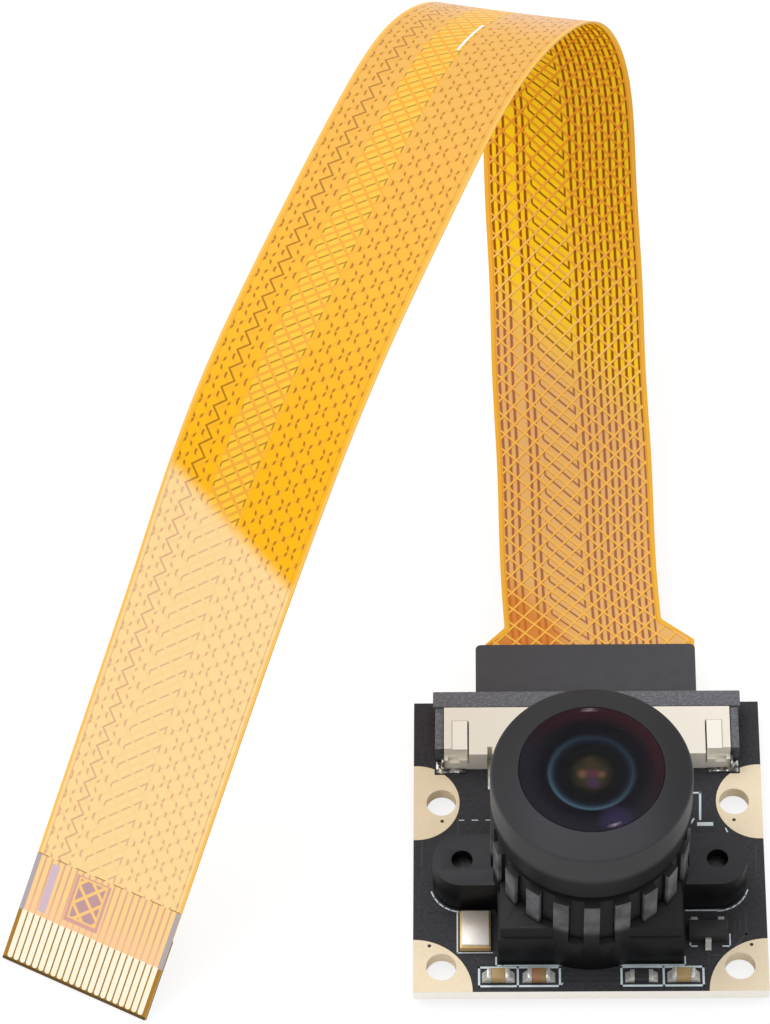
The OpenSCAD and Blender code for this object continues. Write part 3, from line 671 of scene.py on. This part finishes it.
def maskPaint():
    # satin black mask above and below, pale laminate at the board's edges
    p = Paint("solder mask")
    fine = p.noise(0.25)
    up = abs(p.facingUp())
    color = p.mix(tone(54, 54, 58), tone(63, 63, 67), fine.rise(0.3, 0.7))
    color = p.mix(p.mix(tone(255, 252, 245), tone(250, 244, 232), fine), color, up.rise(0.4, 0.6))
    return p.done(Base_Color=color, Roughness=fine * 0.1 + 0.38, Specular_IOR_Level=0.12,
                  Normal=p.bump(fine, 0.004))


def holderPaint():
    # moulded black with painted light: level faces are painted lighter where they catch the light, upright ones
    # stay dark, and the ribs' faces are painted greyer as a highlight
    p = Paint("holder plastic")
    x, y, z = p.place()
    fine, broad = p.noise(0.09), p.noise(1.6)
    up = p.facingUp()
    r = (x * x + y * y).power(0.5)
    color = p.mix(tone(11, 11, 12), tone(18, 18, 20), fine * 0.5 + broad * 0.5)
    ribHighlight = r.rise(6.72, 6.8) * z.rise(5.6, 6.6)
    color = p.mix(color, p.mix(tone(66, 66, 68), tone(98, 98, 101), broad.rise(0.3, 0.7)), ribHighlight)
    earTopLight = up.rise(0.6, 0.95) * abs(x).rise(6.3, 6.9) * (1 - abs(y).rise(3.2, 3.6))
    color = p.mix(color, tone(54, 54, 58), earTopLight)
    color = p.mix(color, tone(40, 40, 42), up.rise(0.6, 0.95) * (1 - abs(x).rise(6.3, 6.9)))
    return p.done(Base_Color=color, Roughness=fine * 0.15 + 0.36, Specular_IOR_Level=0.16,
                  Normal=p.bump(fine, 0.012))


blackMask = maskPaint()
goldPad = grained("gold plate", tone(248, 232, 202), tone(241, 222, 190), 0.12, 0.5, 0.004, shine=0.15)
holderBlack = holderPaint()
barrelBlack = grained("barrel black", tone(66, 66, 68), tone(72, 72, 74), 0.06, 0.42, 0.004, shine=0.4)
# the screws' steel is painted dark, as the shade in the ear holes where their tips show
steel = grained("screw steel in painted shade", tone(24, 24, 25), tone(60, 60, 62), 0.3, 0.3, 0.02, metal=0.6)
tin = grained("tin", tone(232, 231, 226), tone(188, 186, 178), 0.25, 0.3, 0.015, metal=0.45)
mould = grained("moulded black", tone(44, 44, 45), tone(56, 56, 55), 0.06, 0.55, 0.01, shine=0.2)
stiffBlack = grained("black stiffener", tone(75, 75, 79), tone(79, 79, 83), 0.8, 0.5, 0.002, shine=0.12)
crystalGold = grained("crystal rim", tone(226, 194, 138), tone(204, 164, 100), 0.1, 0.35, 0.006, metal=0.4)
laminate = grained("sensor laminate", tone(60, 80, 66), tone(50, 70, 58), 0.1, 0.4, 0.004)
contactGold = grained("contact gold", tone(252, 246, 226), tone(248, 238, 206), 0.1, 0.35, 0.003, shine=0.4)
filterGlass = grained("filter glass", tone(120, 170, 180), tone(100, 150, 165), 0.4, 0.08, 0.001)


def latchPlastic():
    # dark grey plastic filled with glass fibre, which shows as short pale streaks
    p = Paint("latch plastic")
    streaks = p.noise(0.12, 4, (0.45, 1, 1)).rise(0.42, 0.72)
    flecks = p.noise(0.05, 3).rise(0.6, 0.75)
    up = p.facingUp()
    color = p.mix(tone(98, 99, 106), tone(128, 130, 136), streaks)
    color = p.mix(color, tone(150, 152, 158), flecks * streaks * 0.6)
    # faces turned away from up are painted darker, as shade
    color = p.mix(p.mix(color, tone(44, 44, 48), 0.7), color, up.rise(0.3, 0.8))
    return p.done(Base_Color=color, Roughness=0.5 - streaks * 0.1, Specular_IOR_Level=0.2,
                  Normal=p.bump(streaks + flecks, 0.006, 0.6))


latchGrey = latchPlastic()


def ivoryPlastic():
    # cream; a fine seam runs round the paler tab at each end of the top, at 9.15, 11.2 mm
    p = Paint("ivory plastic")
    x, y, z = p.place()
    fine, level = p.noise(0.3), z.rise(2.9, 2.95)
    across, along = abs(abs(x) - 9.15), abs(y - 11.2)
    tab = (1 - across.rise(0.52, 0.56)) * (1 - along.rise(1.2, 1.24)) * level
    seam = (1 - across.rise(0.58, 0.62)) * (1 - along.rise(1.27, 1.31)) * level * (1 - tab)
    color = p.mix(tone(244, 238, 225), tone(240, 234, 220), fine)
    color = p.mix(p.mix(color, tone(254, 251, 242), tab * 0.6), tone(156, 142, 116), seam * 0.7)
    return p.done(Base_Color=color, Roughness=0.5, Specular_IOR_Level=0.15, Normal=p.bump(fine, 0.004))


ivory = ivoryPlastic()


def capacitorClay():
    # the second chip from the left is redder than the other two
    p = Paint("capacitor ceramic")
    x, y, z = p.place()
    grain = p.noise(0.12)
    tan = p.mix(tone(178, 150, 100), tone(160, 133, 88), grain)
    red = p.mix(tone(156, 106, 72), tone(144, 120, 76), x.rise(-3.7, -3.4))
    return p.done(Base_Color=p.mix(tan, red, x.near(-3.65, 0.9, 0.1)), Roughness=0.45,
                  Normal=p.bump(grain, 0.006))


def lidMetal():
    # brushed lid with a painted reflection, brighter towards its front
    p = Paint("crystal lid")
    x, y, z = p.place()
    brushed = p.noise(0.06, 3, (1, 0.15, 1))
    color = p.mix(tone(244, 238, 230), tone(206, 196, 184), (y * 0.8 + brushed).rise(-3.9, -2.2))
    return p.done(Base_Color=color, Roughness=0.32 + brushed * 0.1, Metallic=0.35, Normal=p.bump(brushed, 0.004))


def solderTin():
    # frozen solder: smooth lumps over the metal
    p = Paint("solder")
    lumps = p.noise(0.35, 1)
    color = p.mix(tone(214, 214, 210), tone(90, 90, 90), lumps.rise(0.4, 0.6))
    return p.done(Base_Color=color, Roughness=0.2, Metallic=0.85, Normal=p.bump(lumps, 0.12))


# soft spots of reflected light in the middle of the lens: x, y, size, colour
coatingSpots = (
    (-0.62, 0.0, 0.36, (104, 76, 62)), (0.66, -0.05, 0.3, (98, 74, 56)), (0.1, 0.05, 0.42, (84, 48, 60)),
    (0.1, -0.75, 0.45, (62, 46, 74)), (-0.1, 1.0, 0.4, (56, 50, 36)),
)


def coatingPaint():
    # coatings and inner lenses as rings about the axis, in mm from it
    p = Paint("lens coatings")
    x, y, z = p.place()
    r = (x * x + y * y).power(0.5)
    # how much a place lies towards the back right, and towards the front left, about -1 to 1
    high = (y * 0.8 + x * 0.45) / r.most(0.1)
    low = (0 - y * 0.85 - x * 0.4) / r.most(0.1)
    color = p.mix(tone(20, 20, 25), tone(33, 33, 39), r.rise(3.2, 4.6) * (1 - high.rise(-0.2, 0.7)))
    # a reddish painted reflection in the rim, strongest towards the back right
    color = p.mix(color, tone(46, 26, 31), r.rise(3.7, 4.7) * high.rise(-0.35, 0.75))
    violet = (x - 1.6) * (x - 1.6) + (y + 3.9) * (y + 3.9)
    color = p.mix(color, tone(50, 42, 70), (1 - violet.rise(0.0, 2.2)) * 0.7)
    # a dark halo round a ring whose painted highlight is brightest towards the front left
    color = p.mix(color, tone(28, 40, 50), r.near(2.7, 0.1, 1.1) * 0.8)
    color = p.mix(color, tone(58, 78, 94), r.near(2.85, 0.05, 0.6) * (low.rise(-1.2, 0.4) * 0.7 + 0.2))
    color = p.mix(color, tone(74, 104, 117), r.near(2.95, 0.03, 0.3) * low.rise(0.0, 0.95))
    color = p.mix(color, tone(18, 20, 22), 1 - r.rise(2.0, 2.45))
    color = p.mix(color, tone(30, 34, 36), r.near(1.95, 0.03, 0.2) * 0.7)
    color = p.mix(color, tone(50, 46, 34), 1 - r.rise(0.7, 1.8))
    for spotX, spotY, size, shade in coatingSpots:
        apart = ((x - spotX) * (x - spotX) + (y - spotY) * (y - spotY)).power(0.5)
        color = p.mix(color, tone(*shade), (1 - apart.rise(size * 0.2, size * 1.5)) * 0.8)
    return p.done(Base_Color=color, Roughness=0.4, Specular_IOR_Level=0.02)


def domePaint():
    # clear glass: it shows only its glints, and a little more at grazing angles
    p = Paint("front glass")
    x, y, z = p.place()
    r = (x * x + y * y).power(0.5)
    glint = x.near(-0.1, 0.3, 0.9) * r.near(4.72, 0.03, 0.16) * y.rise(0, 1)
    glint = glint.most(x.near(1.5, 0.25, 0.7) * r.near(4.78, 0.03, 0.12) * (1 - y.rise(-1, 0)) * 0.7)
    graze = p.add("ShaderNodeLayerWeight", {"Blend": 0.2}, "Facing").power(4)
    return p.done(Base_Color=tone(222, 200, 205), Roughness=0.08, Specular_IOR_Level=0.5,
                  Alpha=(glint * 0.6 + graze * 0.02 + 0.002).least(1))


def headSatin():
    # fine satin black with painted light: the lower taper is painted darker than its side and its front face, as
    # shade, the side is painted lighter towards its left and right, and the front face lighter towards the front
    # and darker outwards
    p = Paint("lens head")
    x, y, z = p.place()
    fine = p.noise(0.05)
    outer = abs(x)
    side = p.mix(tone(62, 62, 64), tone(84, 84, 86), outer.rise(5, 7))
    side = p.mix(tone(22, 22, 24), side, z.rise(12.5, 13.5))
    front = p.mix(tone(52, 52, 53), tone(66, 66, 70), (0 - y).rise(-6, 6))
    front = p.mix(front, tone(46, 46, 47), outer.rise(2.5, 6.5) * 0.7)
    color = p.mix(side, front, z.rise(15.7, 15.9))
    return p.done(Base_Color=color, Roughness=0.42 + fine * 0.1, Specular_IOR_Level=0.08,
                  Normal=p.bump(fine, 0.003))


# CAD nodes that show as they are, with their materials
carried = {
    "pcb": blackMask, "plated_pads": goldPad, "holder_screws": steel, "connector_housing": ivory,
    "connector_contacts": tin, "board_end_contacts": goldPad, "transistor_leads": tin,
    "second_element": filterGlass, "rear_element": filterGlass, "infrared_filter": filterGlass,
    "sensor_cover_glass": filterGlass, "image_sensor": laminate, "lens_spacer": barrelBlack,
    "aperture_stop": barrelBlack, "rear_ring": barrelBlack, "board_end_stiffener": stiffBlack,
    "free_end_stiffener": stiffBlack,
}
for name, material in carried.items():
    nodes[name].data.materials.clear()
    nodes[name].data.materials.append(material)

# CAD nodes that get rounded edges, with the width of the rounding in mm
rounded("lens_holder", "holder", 0.12, holderBlack)
rounded("connector_latch", "latch", 0.06, latchGrey)
rounded("connector_hold_downs", "holdDowns", 0.05, solderTin())
rounded("crystal_base", "crystalBase", 0.06, crystalGold)
rounded("crystal_lid", "crystalLid", 0.05, lidMetal())
rounded("transistor_body", "transistor", 0.07, mould)
rounded("capacitor_bodies", "capacitors", 0.06, capacitorClay())
rounded("resistor_body", "resistor", 0.04, mould)
rounded("chip_terminals", "terminals", 0.05, tin)
print("carried-over parts")

# lens: the barrel's section as (radius, height) with each corner's rounding, and the glass, in mm
lens = {
    "barrel": [(3.33, 4.9), (5.95, 4.9), (5.95, 10.4), (6.7, 10.4), (7, 12.9), (7, 15.8), (5.03, 16.5),
               (5.03, 15.5), (3.73, 15.5), (3.73, 14.3), (3.33, 14.3)],
    "rounding": [0.05, 0.15, 0.1, 0.15, 0.35, 0.2, 0.12, 0.05, 0.05, 0.05, 0.05],
    "sharp": 50, "rings": 40, "glass": 5.0, "edge": 16.5, "foot": 15.5,
    "dome": 1.7, "bowl": 0.65,  # rise of the front glass, and drop of the coated surface under it
    "glassSeat": 0.02, "bowlSeat": 0.05,
}
barrel = lathe("barrel", softened(lens["barrel"], lens["rounding"]), "barrel", [headSatin()], sharp=lens["sharp"])
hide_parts("lens_barrel")
# height of the dome = its top less the drop of a sphere through its edge
sphere = (lens["glass"] ** 2 + lens["dome"] ** 2) / (2 * lens["dome"])
reach = np.linspace(lens["glass"], 0, lens["rings"])
domeHeight = lens["edge"] + lens["dome"] - sphere + np.sqrt(sphere ** 2 - reach ** 2)
dome = np.stack([reach, domeHeight], 1).tolist()
seat = lens["edge"] - lens["glassSeat"]
glass = lathe("frontGlass", [(0, seat), (lens["glass"], seat)] + dome, "optics", [domePaint()])
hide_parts("front_element")
# the bowl under the glass: height falls with the square of the distance in from its rim
bowl = lens["edge"] - lens["bowlSeat"] - lens["bowl"] * (1 - (reach / lens["glass"]) ** 2)
lathe("lensCoatings", [(0, lens["foot"]), (lens["glass"], lens["foot"])] + np.stack([reach, bowl], 1).tolist(),
      "optics", [coatingPaint()])
print("lens")

# board surface, positions in mm: printed lines and covered tracks as (x0, y0, x1, y1, width), arcs as
# (x, y, radius, from, to, width) with angles in degrees, and (inner, outer) radius of the plated walls
frameLine = 0.15  # width of the frames printed round the chips
board = {
    "top": 1.0, "print": 0.012, "track": 0.02,
    "holes": [(-10.5, -6.75), (10.5, -6.75), (-10.5, 6.75), (10.5, 6.75)], "wall": (1.07, 1.1), "wallTop": 1.035,
    "dots": [(-11.35, -5.05), (11.35, -5.05), (-10.45, 5.2), (10.45, 5.2)],
    "dot": 0.13, "dotHeights": (0.03, 0.046),  # radius, and bottom and top above the board
    "lines": [
        (-7.85, -8.3, -2.18, -8.3, frameLine), (-7.85, -6.8, -2.18, -6.8, frameLine),
        (-7.85, -8.3, -7.85, -6.8, frameLine), (-5.13, -8.3, -5.13, -6.8, frameLine),
        (-2.18, -8.3, -2.18, -6.8, frameLine), (2.15, -8.3, 7.9, -8.3, frameLine),
        (2.15, -6.8, 7.9, -6.8, frameLine), (2.15, -8.3, 2.15, -6.8, frameLine),
        (5.11, -8.3, 5.11, -6.8, frameLine), (7.9, -8.3, 7.9, -6.8, frameLine), (-6.65, -6.65, -2.0, -6.65, 0.1),
        (-6.65, -6.65, -6.65, -6.0, 0.1), (6.65, -6.65, 2.0, -6.65, 0.1), (6.65, -6.65, 6.65, -6.0, 0.1),
        (-2.0, -6.65, -1.2, -6.72, 0.06), (2.0, -6.65, 1.2, -6.72, 0.06), (6.8, -2.24, 9.2, -2.24, 0.1),
        (-9.37, -5.6, -9.37, -2.4, 0.1), (-9.37, -5.6, -6.9, -5.6, 0.08), (7.05, -5.15, 7.5, -5.15, 0.1),
        (7.05, -5.15, 7.05, -4.9, 0.1), (9.35, -5.15, 9.85, -5.15, 0.1), (9.85, -5.15, 9.85, -4.2, 0.1),
        (7.05, -2.95, 7.6, -2.95, 0.08), (7.64, 7.5, 8.09, 7.5, 0.13), (8.09, 7.5, 8.03, 5.3, 0.16),
        (7.95, 4.88, 8.8, 4.88, 0.3), (7.4, 5.0, 7.56, 5.3, 0.14), (9.84, 4.5, 9.94, 4.24, 0.1),
        (-9.3, 5.3, -8.9, 5.3, 0.07), (-8.3, 5.3, -7.9, 5.3, 0.07), (-7.3, 5.3, -6.9, 5.3, 0.07),
        (-2.18, -8.3, -2.0, -8.1, 0.08),
    ],
    "arcs": [(-9, 0, 2.3, 196, 262, 0.1), (9, 0, 2.3, 345, 272, 0.1)],
    "tracks": [
        (-2.0, -7.1, 2.0, -7.1, 0.14), (-2.0, -7.5, 2.0, -7.5, 0.14), (-2.0, -7.9, 2.0, -7.9, 0.14),
        (11.0, -2.2, 11.0, -4.2, 0.16), (11.0, -4.2, 9.6, -5.9, 0.16), (10.55, -2.4, 10.55, -3.9, 0.14),
        (9.6, -5.9, 8.4, -5.9, 0.16), (10.2, -2.8, 10.2, -4.4, 0.12), (8.3, -5.6, 8.3, -6.6, 0.14),
        (-6.95, 8.6, -6.95, 5.5, 0.12), (-9.3, 5.5, -9.3, 4.0, 0.12), (-6.2, -5.9, -6.2, -6.6, 0.12),
        (-8.1, -6.0, -7.2, -6.6, 0.14), (-11.9, 1.5, -11.9, 8.5, 0.14), (11.9, 3.0, 11.9, 1.0, 0.12),
    ],
}
whiteInk = grained("printed white", tone(226, 236, 240), tone(206, 222, 230), 0.08, 0.6, 0.003, shine=0.2)
slabs("boardPrint", strokes(np.vstack([np.array(board["lines"]), arcs(board["arcs"])])), board["top"],
      board["top"] + board["print"], "root", whiteInk)
coveredTrack = grained("covered tracks", tone(46, 46, 49), tone(54, 54, 58), 0.3, 0.35, 0.003, shine=0.4)
slabs("boardTracks", strokes(board["tracks"]), board["top"], board["top"] + board["track"], "root", coveredTrack)
dotBrown = grained("via", tone(74, 50, 34), tone(58, 40, 28), 0.05, 0.6, 0.004)
low, high = board["dotHeights"]
slabs("viaDots", discs(board["dots"], board["dot"]), board["top"] + low, board["top"] + high, "root", dotBrown)


def tubes(name, spots, inner, outer, low, high, body, material, corners=48):
    # thin tubes standing at the spots, in mm: point = spot + (radius x cos angle, radius x sin angle, height)
    # round the four corners of the wall's section
    a = np.arange(corners) / corners * 2 * np.pi
    section = np.array([(inner, low), (outer, low), (outer, high), (inner, high)])
    ring = np.stack([section[:, 0, None] * np.cos(a), section[:, 0, None] * np.sin(a),
                     np.repeat(section[:, 1, None], corners, 1)], -1).reshape(-1, 3)
    spots = np.array(spots, dtype=float)
    points = ring[None] + np.hstack([spots, np.zeros((len(spots), 1))])[:, None]
    faces = gridFaces(4, corners, True)[None] + (np.arange(len(spots)) * 4 * corners)[:, None, None]
    return piece(name, points.reshape(-1, 3) * mm, faces.reshape(-1, 4), body, [material])


wallGold = grained("plated wall", tone(250, 236, 212), tone(240, 222, 192), 0.1, 0.5, 0.004, shine=0.15)
tubes("platedHoles", board["holes"], *board["wall"], 0.0, board["wallTop"], "root", wallGold)
print("board surface")

# contacts on the free end: strips with a rounded tip, in mm from the ribbon's end
contacts = {"count": 22, "pitch": 0.5, "width": 0.39, "root": -3.9, "tip": -0.25, "rise": 0.035, "tipPoints": 9}
v = (np.arange(contacts["count"]) - (contacts["count"] - 1) / 2) * contacts["pitch"]
h = contacts["width"] / 2
turn = np.radians(np.linspace(0, 180, contacts["tipPoints"]))
outline = np.vstack([[(-h, contacts["root"]), (h, contacts["root"])],
                     np.stack([h * np.cos(turn), contacts["tip"] - h + h * np.sin(turn)], 1)])
flat = outline[None] + np.stack([v, 0 * v], 1)[:, None]
under = ribbon["thick"] / 2
# point = end + v across + s along - height x facing
corners = (middle[-1] + flat[..., :1] * acrossDir[-1] + flat[..., 1:] * along[-1])[:, None]
levels = np.array([under + contacts["rise"], under])[None, :, None, None]
points = (corners - levels * facing[-1]).reshape(-1, 3) * mm
fingers = prisms("fingers", points, contacts["count"], len(outline), "root", contactGold)
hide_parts("free_end_contacts")
# the ribbon leaves the connector; a path through every fourth row of the middle line and its end, worked out here
# and not kept
(middle[::4] * mm).tolist() + (middle[-1:] * mm).tolist()
print("free-end contacts")
